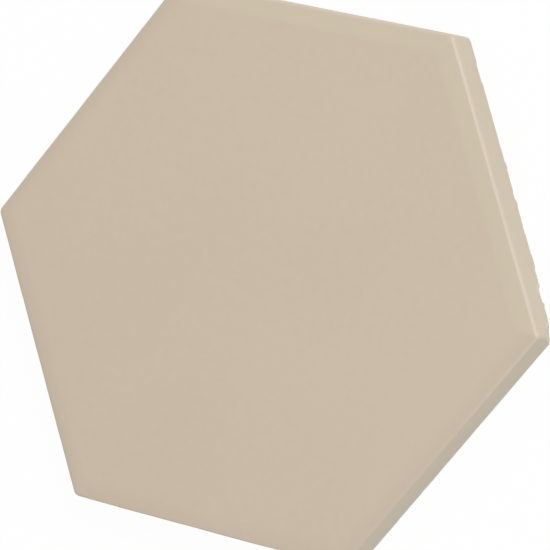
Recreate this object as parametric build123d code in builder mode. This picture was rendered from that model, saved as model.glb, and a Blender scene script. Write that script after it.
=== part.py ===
from build123d import *
import math
import os

# Overall size of the tile
across_flats = 100.5
thickness = 8.0
corner_radius = 1.4

# Edge of the face: a soft roll-off, then a rounded arris, then a wall with a little draft
cushion_width = 4.0
cushion_drop = 0.35
arris_radius = 0.9
wall_draft = 0.15
foot_bevel = 0.4

# Keyed back: honeycomb pockets that the adhesive grips, between flat lands
key_depth = 0.8
key_pitch = 11.5
key_land = 2.3
key_border = 5.0
key_taper = 30.0

# Places that follow from the sizes
foot_apothem = across_flats / 2
face_apothem = foot_apothem - wall_draft
shoulder_height = thickness - cushion_drop
cushion_radius = (cushion_width**2 + cushion_drop**2) / (2 * cushion_drop)
cushion_steps = 4
pocket_apothem = (key_pitch - key_land) / 2
pocket_radius = pocket_apothem / math.cos(math.radians(30))
ring_spacing = key_pitch * math.cos(math.radians(30))
key_rings = int((foot_apothem - key_border - pocket_radius) / ring_spacing)

# Centres of the pockets: hexagonal rings about the middle, corners in line with the tile's corners
pocket_centres = []
for row in range(-key_rings, key_rings + 1):
    first = max(-key_rings, -key_rings - row)
    last = min(key_rings, key_rings - row)
    for column in range(first, last + 1):
        pocket_centres.append((key_pitch * (column + row / 2), ring_spacing * row))

with BuildPart() as hexagon_tile:
    # Bevelled foot, then the wall up to the shoulder where the face begins to roll off
    with BuildSketch(Plane.XY) as back_outline:
        RegularPolygon(foot_apothem - foot_bevel, 6, major_radius=False)
        fillet(back_outline.vertices(), corner_radius - foot_bevel)
    with BuildSketch(Plane.XY.offset(foot_bevel)) as foot_outline:
        RegularPolygon(foot_apothem, 6, major_radius=False)
        fillet(foot_outline.vertices(), corner_radius)
    with BuildSketch(Plane.XY.offset(shoulder_height)) as shoulder_outline:
        RegularPolygon(face_apothem, 6, major_radius=False)
        fillet(shoulder_outline.vertices(), corner_radius)
    loft(ruled=True)

    # Cushion of the face: sections of an arc that is level where it meets the flat
    for step in range(cushion_steps + 1):
        inset = cushion_width * step / cushion_steps
        fall = cushion_radius - math.sqrt(cushion_radius**2 - (cushion_width - inset) ** 2)
        with BuildSketch(Plane.XY.offset(thickness - fall)) as cushion_outline:
            RegularPolygon(face_apothem - inset, 6, major_radius=False)
            fillet(cushion_outline.vertices(), corner_radius)
    loft()

    # Rounded arris between face and wall
    arris = hexagon_tile.edges().filter_by_position(Axis.Z, shoulder_height, shoulder_height)
    fillet(arris, arris_radius)

    # Pockets of the keyed back
    with BuildSketch(Plane.XY) as pockets:
        with Locations(*pocket_centres):
            RegularPolygon(pocket_apothem, 6, major_radius=False, rotation=30)
    extrude(amount=key_depth, taper=key_taper, mode=Mode.SUBTRACT)

hexagon_tile.part.label = "hexagon_tile"

os.makedirs("parts", exist_ok=True)
export_step(hexagon_tile.part, "parts/hexagon_tile.step")
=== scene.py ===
import math

import bpy
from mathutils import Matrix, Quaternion, Vector, geometry, noise


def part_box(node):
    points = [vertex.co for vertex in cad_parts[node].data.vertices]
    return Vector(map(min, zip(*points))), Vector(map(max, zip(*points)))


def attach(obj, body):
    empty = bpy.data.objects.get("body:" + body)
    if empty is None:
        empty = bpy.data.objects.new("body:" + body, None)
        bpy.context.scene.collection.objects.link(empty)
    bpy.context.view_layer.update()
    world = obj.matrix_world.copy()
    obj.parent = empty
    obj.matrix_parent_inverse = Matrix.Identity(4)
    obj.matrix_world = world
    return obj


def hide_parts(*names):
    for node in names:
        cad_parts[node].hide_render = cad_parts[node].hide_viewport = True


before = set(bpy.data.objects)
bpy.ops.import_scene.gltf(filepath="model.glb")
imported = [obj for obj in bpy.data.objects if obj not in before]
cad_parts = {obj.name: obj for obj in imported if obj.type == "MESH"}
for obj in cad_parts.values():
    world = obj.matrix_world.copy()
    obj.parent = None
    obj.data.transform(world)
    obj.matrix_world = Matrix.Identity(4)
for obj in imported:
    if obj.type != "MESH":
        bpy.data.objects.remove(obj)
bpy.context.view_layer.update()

MM = 0.001
NODE = "hexagon_tile"
SIXTH = math.radians(60)
TWELFTH = math.radians(30)
UPRIGHT = math.radians(90)
FULL_RANGE = (0, 1)

# Sizes of the tile in metres, as in the solid: the overall ones come from the frame
low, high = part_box(NODE)
THICKNESS = high.z - low.z
FOOT_APOTHEM = (high.y - low.y) / 2
CORNER_RADIUS = 1.4 * MM
CUSHION_WIDTH = 4.0 * MM
CUSHION_DROP = 0.35 * MM
ARRIS_RADIUS = 0.9 * MM
WALL_DRAFT = 0.15 * MM
FOOT_BEVEL = 0.4 * MM
KEY_DEPTH = 0.8 * MM
KEY_PITCH = 11.5 * MM
KEY_LAND = 2.3 * MM
KEY_BORDER = 5.0 * MM
KEY_TAPER = math.radians(30)

# Softened edges of the back's pockets: radius of their corners, and width and depth of their rims
POCKET_CORNER = 0.5 * MM
RIM_INSET = 0.12 * MM
RIM_DEPTH = 0.6 * RIM_INSET

# Places that follow from the sizes. The cushion is a wide arc that starts level on the face.
FACE_APOTHEM = FOOT_APOTHEM - WALL_DRAFT
HALF_SIDE = FOOT_APOTHEM * math.tan(TWELFTH)
FOOT_CORNER = FOOT_APOTHEM / math.cos(TWELFTH)
CUSHION_RADIUS = (CUSHION_WIDTH**2 + CUSHION_DROP**2) / (2 * CUSHION_DROP)
CUSHION_START = FACE_APOTHEM - CUSHION_WIDTH
CUSHION_CENTRE = THICKNESS - CUSHION_RADIUS
POCKET_APOTHEM = (KEY_PITCH - KEY_LAND) / 2
POCKET_RADIUS = POCKET_APOTHEM / math.cos(TWELFTH)
ROW_SPACING = KEY_PITCH * math.cos(TWELFTH)
KEY_RINGS = int((FOOT_APOTHEM - KEY_BORDER - POCKET_RADIUS) / ROW_SPACING)

# Fineness of the mesh
FACE_RINGS = 100
WALL_FINER = 3
AROUND = 6 * FACE_RINGS * WALL_FINER
ARRIS_STEPS = 8
WALL_STEPS = 20
# Rounded bevel of the foot, as shares of its size: inset and height of each ring
FOOT_SECTION = ((0.3, 0.3), (1.0, 0.0))
EDGE_RINGS = ARRIS_STEPS + WALL_STEPS + len(FOOT_SECTION)
POCKET_POINTS = 24
SHARP_ANGLE = math.radians(40)

# Corners out of true, in millimetres along x and y, counter-clockwise from the +X corner
CORNER_SHIFTS = (
    (-0.08, -0.10),
    (0.21, -0.08),
    (-0.10, 0.0),
    (0.0, -0.26),
    (-0.03, 0.07),
    (0.05, 0.22),
)
# One side has a tighter arris, which widens again towards its two corners
ARRIS_TIGHT = 0.4 * MM
TIGHT_FACING = math.radians(-90)
TIGHT_FADE = 4 * MM
# One wall leans out: how far at its top
WALL_LEAN = 0.22 * MM
LEAN_FACING = math.radians(-30)
# Steepness with which the face follows a tight arris or a leaning wall, near its edge alone
EDGE_RAMP = 40
# Slow waves: size of each and distance from one to the next
FACE_WAVE = 0.012 * MM
FACE_WAVE_LENGTH = 14 * MM
ARRIS_WOBBLE = 0.08 * MM
WOBBLE_LENGTH = 6 * MM

# Facet worn off the foot of the +X corner: direction it faces from +X, distance from the tile's middle
# at the floor and height it would reach at a sharp corner
FACET_FACING = math.radians(15)
FACET_DISTANCE = 54.8 * MM
FACET_HEIGHT = 4.8 * MM
# Stretches of the facet's rim that show the bare biscuit: how far they reach from the facet's plane, and
# the place along the foot from the +X corner and the half length of each in millimetres
BARE_RIM_REACH = 0.25 * MM
BARE_RIMS = (
    (-0.9, 1.8),
    (2.2, 0.9),
)
# Chips along the foot, in millimetres: place from the +X corner, half length, depth and height
CHIPS = (
    (4.2, 2.4, 0.38, 1.8),
    (8.1, 1.7, 0.54, 1.9),
    (11.5, 1.9, 0.14, 1.3),
    (20.6, 1.0, 0.10, 1.0),
    (27.3, 0.9, 0.14, 1.1),
    (37.3, 0.8, 0.09, 1.0),
    (51.0, 2.2, 0.17, 1.4),
)
# Beads of glaze on the same foot: place, half length, how far they stand out and height
BEADS = (
    (14.6, 1.5, 0.13, 1.4),
    (25.6, 0.6, 0.17, 0.9),
    (33.0, 0.7, 0.19, 1.0),
)
# Steepness of the ends of chips and beads, as an even power
CHIP_POWER = 6
BEAD_POWER = 4
# Bare spot in a chip, in millimetres: place, half length and height
SPOT_PLACE = 9.3
SPOT_HALF = 1.6
SPOT_HEIGHT = 3.2
# Roughness of the foot: depth, height up to which it shows, size of its grain and how much the grain
# changes the depth of chips and facet
FOOT_ROUGHNESS = 0.03 * MM
ROUGH_HEIGHT = 2 * MM
WEAR_GRAIN = 1.1 * MM
WEAR_UNEVEN = 0.15

# Painted shade, as darker glaze along the edges' roll-off: the axis of the two darkest sides, its share all
# round, its extra on those two sides and what is missing towards +X, the lamp's side
SHADE_AXIS = math.radians(156)
SHADE_ROUND = 0.42
SHADE_SIDES = 0.45
SHADE_LESS = 0.15
# Painted light, as lighter glaze on the face's roll-off where it faces the lamp: direction and width
PAINTED_LIGHT_FACING = math.radians(60)
PAINTED_LIGHT_WIDTH = 1.25 * CUSHION_WIDTH
# How far from the +X corner the arris' glaze is made lighter still, partly worn thinner and partly a painted
# highlight, clockwise and counter-clockwise
WEAR_AND_HIGHLIGHT_CLOCKWISE = 35 * MM
WEAR_AND_HIGHLIGHT_COUNTER = 0.7 * MM
# Height up to which the foot's glaze gives way to bare biscuit
BARE_FOOT = 0.5 * MM

# Colours, linear
GLAZE_LIGHT = (0.608, 0.505, 0.398, 1)
GLAZE_DARK = (0.592, 0.489, 0.384, 1)
# Lighter glaze on the arris: partly thinner glaze, partly a painted highlight
GLAZE_THIN_AND_HIGHLIGHT = (0.618, 0.534, 0.424, 1)
# Painted light on the roll-off that faces the lamp
GLAZE_PAINTED_LIGHT = (0.605, 0.530, 0.398, 1)
# Painted shade on the edges' roll-off
GLAZE_PAINTED_SHADE = (0.562, 0.472, 0.354, 1)
WALL_TINT = (0.946, 0.977, 0.949, 1)
BISCUIT_LIGHT = (0.73, 0.64, 0.55, 1)
BISCUIT_DARK = (0.63, 0.55, 0.46, 1)
FLOOR_COLOUR = (0.88, 0.88, 0.88, 1)

# Clouds, mottling and grain of the surface: size of their features and fineness of detail
CLOUDS = (30 * MM, 2)
MOTTLING = (1.6 * MM, 3)
GRAIN = (0.35 * MM, 3)
# Clouds and mottling together, from the darkest glaze to the lightest
TONE_RANGE = (0.7, 1.3)
# How much the glaze on the arris is lightened, partly as thinner glaze and partly as a painted highlight,
# where it is darkest and where it is lightest
THIN_AND_HIGHLIGHT_SHARES = (0.38, 0.62)
# Stored bareness, mottling and grain together, from full glaze to bare biscuit
BARE_RANGE = (1.42, 1.52)
# Roughness of the glaze over a range of its mottling, and how much rougher the biscuit is
MOTTLE_RANGE = (0.3, 0.7)
SATIN = (0.40, 0.48)
BISCUIT_ROUGHER = 0.45
# Fine relief: height of the mottling, height of the grain on glaze and on biscuit, and their scale
PEEL = 0.6
GRIT = (0.15, 2.5)
BUMP_STRENGTH = 0.5
BUMP_DISTANCE = 0.02 * MM
GLAZE_IOR = 1.5

# Camera, as it stood in the photograph
VIEW_AZIMUTH = math.radians(7.376)
VIEW_ELEVATION = math.radians(63.443)
VIEW_ROLL = math.radians(-84.95)
VIEW_DISTANCE = 0.68224
VIEW_AIM = Vector((3.69 * MM, -0.20 * MM, THICKNESS))
VIEW_LENS = 240.1
VIEW_SENSOR = 36
VIEW_FARTHEST = 20

# Soft studio light: an even sky, and one large lamp from the upper right of the picture
SKY_STRENGTH = 0.82
LAMP_AZIMUTH = math.radians(50)
LAMP_ELEVATION = math.radians(45)
LAMP_DISTANCE = 1.5
LAMP_SIZE = 0.82
LAMP_POWER = 10.3

# Floor: how far it reaches, how far it lies below the back's lands and how much of it is plain white
FLOOR_REACH = 3.0
FLOOR_DROP = 0.02 * MM
FLOOR_WHITE = 0.96


def direction(azimuth, elevation):
    """Unit vector at an angle from +X towards +Y and an angle above the floor."""
    flat = math.cos(elevation)
    return Vector((flat * math.cos(azimuth), flat * math.sin(azimuth), math.sin(elevation)))


def limited(value):
    """The value, kept between 0 and 1."""
    return min(1.0, max(0.0, value))


def smooth_bump(value, low_end, high_end):
    """0 outside the range, rising smoothly to 1 in its middle."""
    place = (value - low_end) / (high_end - low_end)
    if place <= 0 or place >= 1:
        return 0.0
    return math.sin(math.pi * place) ** 2


def side_share(angle, facing):
    """1 on the side that faces one way, falling smoothly to 0 over its two corners."""
    share = max(0.0, 2 * math.cos(angle - facing) - 1)
    return share * share * (3 - 2 * share)


def rounded_hexagon(apothem, radius, count, turn=0.0):
    """Evenly spaced (x, y, outward angle), counter-clockwise from the middle of the corner at angle turn."""
    half_arc = radius * TWELFTH
    straight = 2 * (apothem - radius) * math.tan(TWELFTH)
    side = straight + 2 * half_arc
    corner_centre = (apothem - radius) / math.cos(TWELFTH)
    points = []
    for step in range(count):
        corner, along = divmod(6 * side * step / count, side)
        start = turn + corner * SIXTH
        if half_arc <= along <= side - half_arc:
            angle = start + TWELFTH
            shift = along - side / 2
            x = apothem * math.cos(angle) - shift * math.sin(angle)
            y = apothem * math.sin(angle) + shift * math.cos(angle)
        else:
            near_start = along < half_arc
            centre = start if near_start else start + SIXTH
            angle = start + along / radius if near_start else centre - (side - along) / radius
            x = corner_centre * math.cos(centre) + radius * math.cos(angle)
            y = corner_centre * math.sin(centre) + radius * math.sin(angle)
        points.append((x, y, angle))
    return points


def foot_distance(step):
    """Distance along the foot from the middle of the +X corner, negative clockwise."""
    side = 2 * (FOOT_APOTHEM - CORNER_RADIUS) * math.tan(TWELFTH) + 2 * CORNER_RADIUS * TWELFTH
    turns = step / AROUND
    if turns > 0.5:
        turns -= 1
    return 6 * side * turns


def out_of_true(x, y):
    """A place on the tile, moved with the two corners nearest to it."""
    turns = math.atan2(y, x) / SIXTH
    corner = math.floor(turns)
    reach = math.hypot(x, y) / FOOT_CORNER
    angle = (turns - corner) * SIXTH
    later = reach * math.sin(angle) / math.cos(TWELFTH)
    earlier = reach * math.cos(angle) - later / 2
    before = CORNER_SHIFTS[corner % 6]
    after = CORNER_SHIFTS[(corner + 1) % 6]
    x += (earlier * before[0] + later * after[0]) * MM
    y += (earlier * before[1] + later * after[1]) * MM
    return x, y


def arris_radius(x, y, angle):
    """Radius of the arris at a place on the edge: tighter on one side, away from its two corners."""
    along = abs(y * math.cos(TIGHT_FACING) - x * math.sin(TIGHT_FACING))
    share = side_share(angle, TIGHT_FACING) * limited((HALF_SIDE - along) / TIGHT_FADE)
    return ARRIS_RADIUS + (ARRIS_TIGHT - ARRIS_RADIUS) * share


def lean(angle, height):
    """How far the wall that faces this way leans out at a height."""
    return WALL_LEAN * side_share(angle, LEAN_FACING) * height / THICKNESS


def edge_point(number, radius):
    """Apothem, height and tilt of one ring of the edge: the arris, then the wall, then the bevelled foot."""
    start = FACE_APOTHEM - radius
    first = math.asin((start - CUSHION_START) / (CUSHION_RADIUS - radius))
    centre = CUSHION_CENTRE + (CUSHION_RADIUS - radius) * math.cos(first)
    if number <= ARRIS_STEPS:
        tilt = first + (UPRIGHT - first) * number / ARRIS_STEPS
        return start + radius * math.sin(tilt), centre + radius * math.cos(tilt), tilt
    down = (number - ARRIS_STEPS) / WALL_STEPS
    if down <= 1:
        return FACE_APOTHEM + WALL_DRAFT * down, centre + (FOOT_BEVEL - centre) * down, UPRIGHT
    inset, height = FOOT_SECTION[number - ARRIS_STEPS - WALL_STEPS - 1]
    return FOOT_APOTHEM - inset * FOOT_BEVEL, height * FOOT_BEVEL, UPRIGHT


def face_height(apothem):
    """Height of the face where the hexagon through a point has this apothem."""
    if apothem <= CUSHION_START:
        return THICKNESS
    return CUSHION_CENTRE + math.sqrt(CUSHION_RADIUS**2 - (apothem - CUSHION_START) ** 2)


def facet_depth(x, y, height):
    """How far a place on the wall stands out beyond the plane of the corner's worn facet."""
    full = FOOT_CORNER * math.cos(FACET_FACING) - FACET_DISTANCE
    reach = x * math.cos(FACET_FACING) + y * math.sin(FACET_FACING) - FACET_DISTANCE
    return reach - full * height / FACET_HEIGHT


def strongest(features, along, height, power):
    """Greatest of the listed features at a place on the wall. A high power gives them steep ends."""
    greatest = 0.0
    for middle, half, strength, tall in features:
        across = 1 - ((along / MM - middle) / half) ** power
        upward = 1 - height / (tall * MM)
        if across > 0 and upward > 0:
            greatest = max(greatest, strength * across * upward)
    return greatest * MM


def foot_wear(place, along, facet):
    """How far beads, wear and roughness move a place on the wall outward."""
    grain = noise.noise(place / WEAR_GRAIN)
    cut = max(strongest(CHIPS, along, place.z, CHIP_POWER), facet) * (1 + WEAR_UNEVEN * grain)
    bead = strongest(BEADS, along, place.z, BEAD_POWER)
    rough = FOOT_ROUGHNESS * (grain - 1) * max(0.0, 1 - place.z / ROUGH_HEIGHT)
    return bead - cut + rough


def bare_spot(along, height):
    """How bare the glaze leaves a place on the wall near the bare spot: 1 in its middle, on the floor."""
    across = (along / MM - SPOT_PLACE) / SPOT_HALF
    upward = height / MM / SPOT_HEIGHT
    return 1 - across * across - upward * upward


def bare_rim(facet, along):
    """How bare the glaze leaves a place on the wall near the rim of the facet."""
    off = facet / BARE_RIM_REACH
    greatest = 0.0
    for middle, half in BARE_RIMS:
        across = (along / MM - middle) / half
        greatest = max(greatest, 1 - across * across - off * off)
    return greatest


def painted_shade_share(angle):
    """Share of painted shade on the edge that faces this way: most on the two sides along one axis, least
    towards +X.
    """
    sides = SHADE_SIDES * math.cos(2 * (angle - SHADE_AXIS))
    return SHADE_ROUND + sides - SHADE_LESS * math.cos(angle)


def painted_light_share(angle):
    """Share of painted light, as lighter glaze, on the roll-off of the edge that faces this way: most
    towards the lamp.
    """
    return max(0.0, math.cos(angle - PAINTED_LIGHT_FACING)) ** 2


def corner_wear_and_highlight(along):
    """How many times lighter than elsewhere the arris' glaze is made, partly worn thinner and partly a
    painted highlight: twice at the +X corner.
    """
    reach = WEAR_AND_HIGHLIGHT_CLOCKWISE if along < 0 else WEAR_AND_HIGHLIGHT_COUNTER
    return 1 + max(0.0, 1 - abs(along) / reach)


class Surface:
    """Vertices and faces of the tile, with values for the glaze, and for its painted light and shade, at
    each vertex.
    """

    def __init__(self):
        self.vertices = []
        self.faces = []
        # Values: lighter arris (partly a painted highlight), painted light, painted shade, wall tint and
        # bareness
        self.glaze = {"thin": [], "rolled": [], "pooled": [], "wall": [], "bare": []}

    def add(self, point, **glaze):
        """A vertex, with the glaze's values that aren't 0 there. Returns its number."""
        self.vertices.append(point)
        for name, values in self.glaze.items():
            values.append(glaze.get(name, 0.0))
        return len(self.vertices) - 1

    def join_growing(self, inner, outer):
        """Triangles between two rings of a hexagon, of which the outer has one point more on each side."""
        steps = len(outer) // 6
        for sixth in range(6):
            for step in range(steps):
                here = outer[sixth * steps + step]
                there = outer[(sixth * steps + step + 1) % len(outer)]
                middle = inner[(sixth * (steps - 1) + step) % len(inner)]
                self.faces.append((here, there, middle))
                if step < steps - 1:
                    beside = inner[(sixth * (steps - 1) + step + 1) % len(inner)]
                    self.faces.append((middle, there, beside))

    def join_finer(self, upper, lower):
        """Triangles from each edge of a ring to its share of the edges of a finer one below it."""
        share = len(lower) // len(upper)
        for here in range(len(upper)):
            there = upper[(here + 1) % len(upper)]
            first = here * share
            for step in range(share):
                left = lower[first + step]
                right = lower[(first + step + 1) % len(lower)]
                self.faces.append((upper[here], left, right))
            self.faces.append((upper[here], lower[(first + share) % len(lower)], there))

    def join(self, upper, lower):
        """Quads between two rings of as many points, facing outward when the first is above."""
        count = len(upper)
        for here in range(count):
            there = (here + 1) % count
            self.faces.append((upper[here], lower[here], lower[there], upper[there]))


def add_face_point(surface, apothem, edge, outline_point):
    """One vertex of a ring of the face, with its glaze."""
    x, y, angle = outline_point
    inset = FACE_APOTHEM - apothem
    near_edge = (apothem / edge) ** EDGE_RAMP
    grow = (edge_point(0, arris_radius(x, y, angle))[0] - edge) * near_edge
    wave = FACE_WAVE * (noise.noise(Vector((x, y, 0)) / FACE_WAVE_LENGTH) - 1)
    height = face_height(apothem + grow) + wave * min(1, inset / CUSHION_WIDTH)
    out = grow + lean(angle, height) * near_edge
    place = (x + out * math.cos(angle), y + out * math.sin(angle), height)
    # Painted light on the roll-off that faces the lamp
    rolled = smooth_bump(inset, 0, PAINTED_LIGHT_WIDTH) * painted_light_share(angle)
    # Painted shade on the edges' roll-off
    pooled = smooth_bump(inset, -CUSHION_WIDTH, CUSHION_WIDTH) * painted_shade_share(angle)
    return surface.add(place, rolled=rolled, pooled=pooled)


def build_face(surface):
    """Glazed face as rings of triangles from the middle out to the arris. Returns the last ring."""
    edge = edge_point(0, ARRIS_RADIUS)[0]
    edge_radius = CORNER_RADIUS - (FACE_APOTHEM - edge)
    inner = [surface.add((0, 0, THICKNESS - FACE_WAVE))]
    for ring in range(1, FACE_RINGS + 1):
        apothem = edge * ring / FACE_RINGS
        outline = rounded_hexagon(apothem, edge_radius * ring / FACE_RINGS, 6 * ring)
        outer = [add_face_point(surface, apothem, edge, point) for point in outline]
        surface.join_growing(inner, outer)
        inner = outer
    return inner


def add_wall_point(surface, number, base, along, outline_point):
    """One vertex of a ring of the edge, with its wear and its glaze."""
    x, y, angle = outline_point
    apothem, height, tilt = edge_point(number, arris_radius(x, y, angle))
    place = Vector((x, y, height))
    arris_share = min(1.0, number / ARRIS_STEPS)
    facet = facet_depth(x, y, height)
    wobble = ARRIS_WOBBLE * noise.noise(place / WOBBLE_LENGTH) * arris_share * height / THICKNESS
    out = apothem - base + lean(angle, height) + foot_wear(place, along, facet) + wobble
    bare = max(1 - height / BARE_FOOT, bare_spot(along, height), bare_rim(facet, along))
    return surface.add(
        (x + out * math.cos(angle), y + out * math.sin(angle), height),
        # Lighter arris, partly thinner glaze and partly a painted highlight, strongest near the +X corner
        thin=smooth_bump(tilt, 0, UPRIGHT) * corner_wear_and_highlight(along),
        # Painted shade carried onto the top of the arris
        pooled=(1 - arris_share) * painted_shade_share(angle),
        wall=arris_share,
        bare=limited(bare),
    )


def build_wall(surface, ring):
    """Arris, wall and bevelled foot, from the face's last ring down. Returns the ring on the floor."""
    for number in range(1, EDGE_RINGS + 1):
        base = edge_point(number, ARRIS_RADIUS)[0]
        corner_radius = CORNER_RADIUS - max(0.0, FACE_APOTHEM - base)
        lower = []
        for step, point in enumerate(rounded_hexagon(base, corner_radius, AROUND)):
            lower.append(add_wall_point(surface, number, base, foot_distance(step), point))
        if len(ring) == len(lower):
            surface.join(ring, lower)
        else:
            surface.join_finer(ring, lower)
        ring = lower
    return ring


def pocket_centres():
    """Middles of the back's pockets, in hexagonal rings about the tile's middle."""
    centres = []
    for row in range(-KEY_RINGS, KEY_RINGS + 1):
        first = max(-KEY_RINGS, -KEY_RINGS - row)
        last = min(KEY_RINGS, KEY_RINGS - row)
        for column in range(first, last + 1):
            centres.append((KEY_PITCH * (column + row / 2), ROW_SPACING * row))
    return centres


def build_pocket(surface, centre):
    """One tapered pocket of the back. Returns the ring of its mouth."""
    slope = math.tan(KEY_TAPER)
    section = (
        (0.0, 0.0),
        (RIM_INSET, RIM_DEPTH),
        (slope * (KEY_DEPTH - RIM_INSET), KEY_DEPTH - RIM_INSET),
        (slope * KEY_DEPTH + RIM_INSET, KEY_DEPTH),
    )
    rings = []
    for inset, height in section:
        ring = []
        for x, y, angle in rounded_hexagon(POCKET_APOTHEM - inset, POCKET_CORNER, POCKET_POINTS, TWELFTH):
            ring.append(surface.add((centre[0] + x, centre[1] + y, height), bare=1.0))
        rings.append(ring)
    for outer, inner in zip(rings, rings[1:]):
        surface.join(outer, inner)
    surface.faces.append(tuple(reversed(rings[-1])))
    return rings[0]


def build_back(surface, foot):
    """Pockets of the back and the flat lands between them, inside the foot's last ring."""
    loops = [foot]
    for centre in pocket_centres():
        loops.append(build_pocket(surface, centre))
    corners = []
    borders = []
    owners = []
    for number, loop in enumerate(loops):
        first = len(corners)
        for place, index in enumerate(loop):
            x, y, z = surface.vertices[index]
            corners.append(Vector((x / MM, y / MM)))
            owners.append((index, number))
            borders.append((first + place, first + (place + 1) % len(loop)))
    inside_borders = 1
    closeness = 1e-5
    result = geometry.delaunay_2d_cdt(corners, borders, [], inside_borders, closeness)
    triangles = result[2]
    sources = result[3]
    for triangle in triangles:
        picked = [owners[sources[corner][0]] for corner in reversed(triangle)]
        loops_met = {number for index, number in picked}
        in_one_pocket = len(loops_met) == 1 and 0 not in loops_met
        if not in_one_pocket:
            surface.faces.append(tuple(index for index, number in picked))


def build_tile():
    """The whole tile as one closed mesh."""
    surface = Surface()
    edge = build_face(surface)
    foot = build_wall(surface, edge)
    build_back(surface, foot)
    mesh = bpy.data.meshes.new("glazed_tile")
    vertices = [out_of_true(x, y) + (z,) for x, y, z in surface.vertices]
    mesh.from_pydata(vertices, [], surface.faces)
    for name, values in surface.glaze.items():
        layer = mesh.attributes.new(name, "FLOAT", "POINT")
        layer.data.foreach_set("value", values)
    mesh.shade_smooth()
    mesh.set_sharp_from_angle(angle=SHARP_ANGLE)
    mesh.validate()
    mesh.materials.append(tile_material())
    tile = bpy.data.objects.new("glazed_tile", mesh)
    bpy.context.scene.collection.objects.link(tile)
    return tile


class Shading:
    """Node tree of a material or world, with short ways to add its nodes."""

    def __init__(self, owner):
        owner.use_nodes = True
        self.nodes = owner.node_tree.nodes
        self.links = owner.node_tree.links
        self.nodes.clear()

    def feed(self, socket, value):
        """Gives an input its value: the output of another node, or a constant."""
        if isinstance(value, bpy.types.NodeSocket):
            self.links.new(value, socket)
        else:
            socket.default_value = value

    def add(self, kind, inputs=None):
        """A node of a kind, with some of its inputs by name or number."""
        node = self.nodes.new(kind)
        for name, value in (inputs or {}).items():
            self.feed(node.inputs[name], value)
        return node

    def noise_texture(self, place, size, detail):
        """Noise whose features are about size metres across."""
        inputs = {"Vector": place, "Scale": 1 / size, "Detail": detail}
        return self.add("ShaderNodeTexNoise", inputs).outputs["Fac"]

    def combine(self, operation, first, second):
        """A sum, product or the like of two values."""
        node = self.add("ShaderNodeMath", {0: first, 1: second})
        node.operation = operation
        return node.outputs["Value"]

    def spread(self, value, old, new):
        """Maps a value smoothly from one range to another."""
        inputs = {"Value": value, "From Min": old[0], "From Max": old[1], "To Min": new[0], "To Max": new[1]}
        node = self.add("ShaderNodeMapRange", inputs)
        node.interpolation_type = "SMOOTHSTEP"
        return node.outputs["Result"]

    def mix(self, factor, first, second, blend="MIX"):
        """Blends two colours by a factor."""
        node = self.nodes.new("ShaderNodeMix")
        node.data_type = "RGBA"
        node.blend_type = blend
        self.feed(node.inputs["Factor"], factor)
        start, end = [socket for socket in node.inputs if socket.type == "RGBA"]
        self.feed(start, first)
        self.feed(end, second)
        return [socket for socket in node.outputs if socket.type == "RGBA"][0]

    def stored(self, name):
        """A value stored on the mesh."""
        node = self.nodes.new("ShaderNodeAttribute")
        node.attribute_name = name
        return node.outputs["Fac"]

    def seen_directly(self):
        """1 for rays from the camera, from reflections and through glass, and 0 for the rest."""
        path = self.nodes.new("ShaderNodeLightPath").outputs
        seen = self.combine("MAXIMUM", path["Is Camera Ray"], path["Is Glossy Ray"])
        return self.combine("MAXIMUM", seen, path["Is Transmission Ray"])


def glaze_colour(shading, tone):
    """Beige of the glaze, with painted light on the roll-off that faces the lamp, painted shade on the
    edges' roll-off, and a lighter arris, partly thinner glaze and partly a painted highlight.
    """
    glaze = shading.mix(tone, GLAZE_DARK, GLAZE_LIGHT)
    # Painted light on the roll-off that faces the lamp
    glaze = shading.mix(shading.stored("rolled"), glaze, GLAZE_PAINTED_LIGHT)
    # Painted shade on the edges' roll-off
    glaze = shading.mix(shading.stored("pooled"), glaze, GLAZE_PAINTED_SHADE)
    glaze = shading.mix(shading.stored("wall"), glaze, WALL_TINT, "MULTIPLY")
    # Lighter arris: partly thinner glaze, partly a painted highlight
    uneven = shading.spread(tone, FULL_RANGE, THIN_AND_HIGHLIGHT_SHARES)
    thin = shading.combine("MULTIPLY", shading.stored("thin"), uneven)
    return shading.mix(thin, glaze, GLAZE_THIN_AND_HIGHLIGHT)


def fine_relief(shading, mottle, grain, bare):
    """Normal with the slight mottling of the glaze and the grit of the biscuit."""
    peel = shading.combine("MULTIPLY", mottle, PEEL)
    grit = shading.combine("MULTIPLY", grain, shading.spread(bare, FULL_RANGE, GRIT))
    relief = shading.combine("ADD", peel, grit)
    inputs = {"Height": relief, "Strength": BUMP_STRENGTH, "Distance": BUMP_DISTANCE}
    return shading.add("ShaderNodeBump", inputs).outputs["Normal"]


def tile_material():
    """Satin beige glaze, with bare biscuit where there is none."""
    material = bpy.data.materials.new("satin_glaze")
    shading = Shading(material)
    place = shading.add("ShaderNodeTexCoord").outputs["Object"]
    cloud = shading.noise_texture(place, *CLOUDS)
    mottle = shading.noise_texture(place, *MOTTLING)
    grain = shading.noise_texture(place, *GRAIN)

    tone = shading.spread(shading.combine("ADD", cloud, mottle), TONE_RANGE, FULL_RANGE)
    biscuit = shading.mix(grain, BISCUIT_DARK, BISCUIT_LIGHT)
    ragged = shading.combine("ADD", mottle, grain)
    bareness = shading.combine("ADD", shading.stored("bare"), ragged)
    bare = shading.spread(bareness, BARE_RANGE, FULL_RANGE)
    rougher = shading.combine("MULTIPLY", bare, BISCUIT_ROUGHER)
    satin = shading.spread(mottle, MOTTLE_RANGE, SATIN)

    surface = {
        "Base Color": shading.mix(bare, glaze_colour(shading, tone), biscuit),
        "Roughness": shading.combine("ADD", satin, rougher),
        "IOR": GLAZE_IOR,
        "Normal": fine_relief(shading, mottle, grain, bare),
    }
    shader = shading.add("ShaderNodeBsdfPrincipled", surface)
    shading.add("ShaderNodeOutputMaterial", {"Surface": shader.outputs["BSDF"]})
    return material


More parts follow.
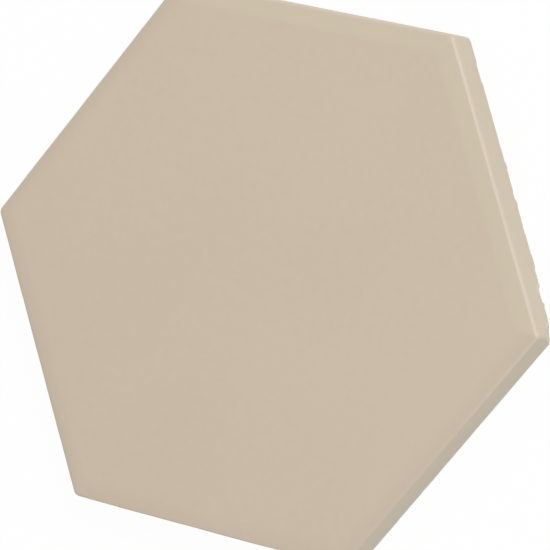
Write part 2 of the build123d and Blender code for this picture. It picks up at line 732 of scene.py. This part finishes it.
def floor_material():
    """White floor that still takes a faint shadow."""
    material = bpy.data.materials.new("white_floor")
    shading = Shading(material)
    matt = shading.add("ShaderNodeBsdfDiffuse", {"Color": FLOOR_COLOUR}).outputs["BSDF"]
    white = shading.add("ShaderNodeEmission").outputs["Emission"]
    share = shading.combine("MULTIPLY", shading.seen_directly(), FLOOR_WHITE)
    mixed = shading.add("ShaderNodeMixShader", {0: share, 1: matt, 2: white})
    shading.add("ShaderNodeOutputMaterial", {"Surface": mixed.outputs["Shader"]})
    return material


def build_floor():
    """Plain floor under the tile."""
    level = low.z - FLOOR_DROP
    corners = []
    for x, y in ((-1, -1), (1, -1), (1, 1), (-1, 1)):
        corners.append((x * FLOOR_REACH, y * FLOOR_REACH, level))
    mesh = bpy.data.meshes.new("floor")
    mesh.from_pydata(corners, [], [(0, 1, 2, 3)])
    mesh.materials.append(floor_material())
    floor = bpy.data.objects.new("floor", mesh)
    bpy.context.scene.collection.objects.link(floor)


def build_sky():
    """Even soft light all round, seen as white."""
    world = bpy.data.worlds.new("studio")
    shading = Shading(world)
    white = 1
    strength = shading.spread(shading.seen_directly(), FULL_RANGE, (SKY_STRENGTH, white))
    sky = shading.add("ShaderNodeBackground", {"Strength": strength})
    shading.add("ShaderNodeOutputWorld", {"Surface": sky.outputs["Background"]})
    bpy.context.scene.world = world


def build_lamp():
    """Large soft lamp from the upper right of the picture."""
    lamp = bpy.data.lights.new("key_light", "AREA")
    lamp.shape = "DISK"
    lamp.size = LAMP_SIZE
    lamp.energy = LAMP_POWER
    holder = bpy.data.objects.new("key_light", lamp)
    toward = direction(LAMP_AZIMUTH, LAMP_ELEVATION)
    holder.location = toward * LAMP_DISTANCE
    holder.rotation_euler = toward.to_track_quat("Z", "Y").to_euler()
    bpy.context.scene.collection.objects.link(holder)


def build_camera():
    """Camera looking down on the tile, turned as in the photograph."""
    data = bpy.data.cameras.new("camera")
    data.sensor_width = VIEW_SENSOR
    data.lens = VIEW_LENS
    data.clip_end = VIEW_FARTHEST
    camera = bpy.data.objects.new("camera", data)
    back = direction(VIEW_AZIMUTH, VIEW_ELEVATION)
    camera.location = VIEW_AIM + back * VIEW_DISTANCE
    camera.rotation_mode = "QUATERNION"
    camera.rotation_quaternion = back.to_track_quat("Z", "Y") @ Quaternion((0, 0, 1), VIEW_ROLL)
    bpy.context.scene.collection.objects.link(camera)
    bpy.context.scene.camera = camera


tile = build_tile()
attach(tile, "root")
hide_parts(NODE)
build_floor()
build_sky()
build_lamp()
build_camera()
bpy.context.scene.view_settings.view_transform = "Standard"
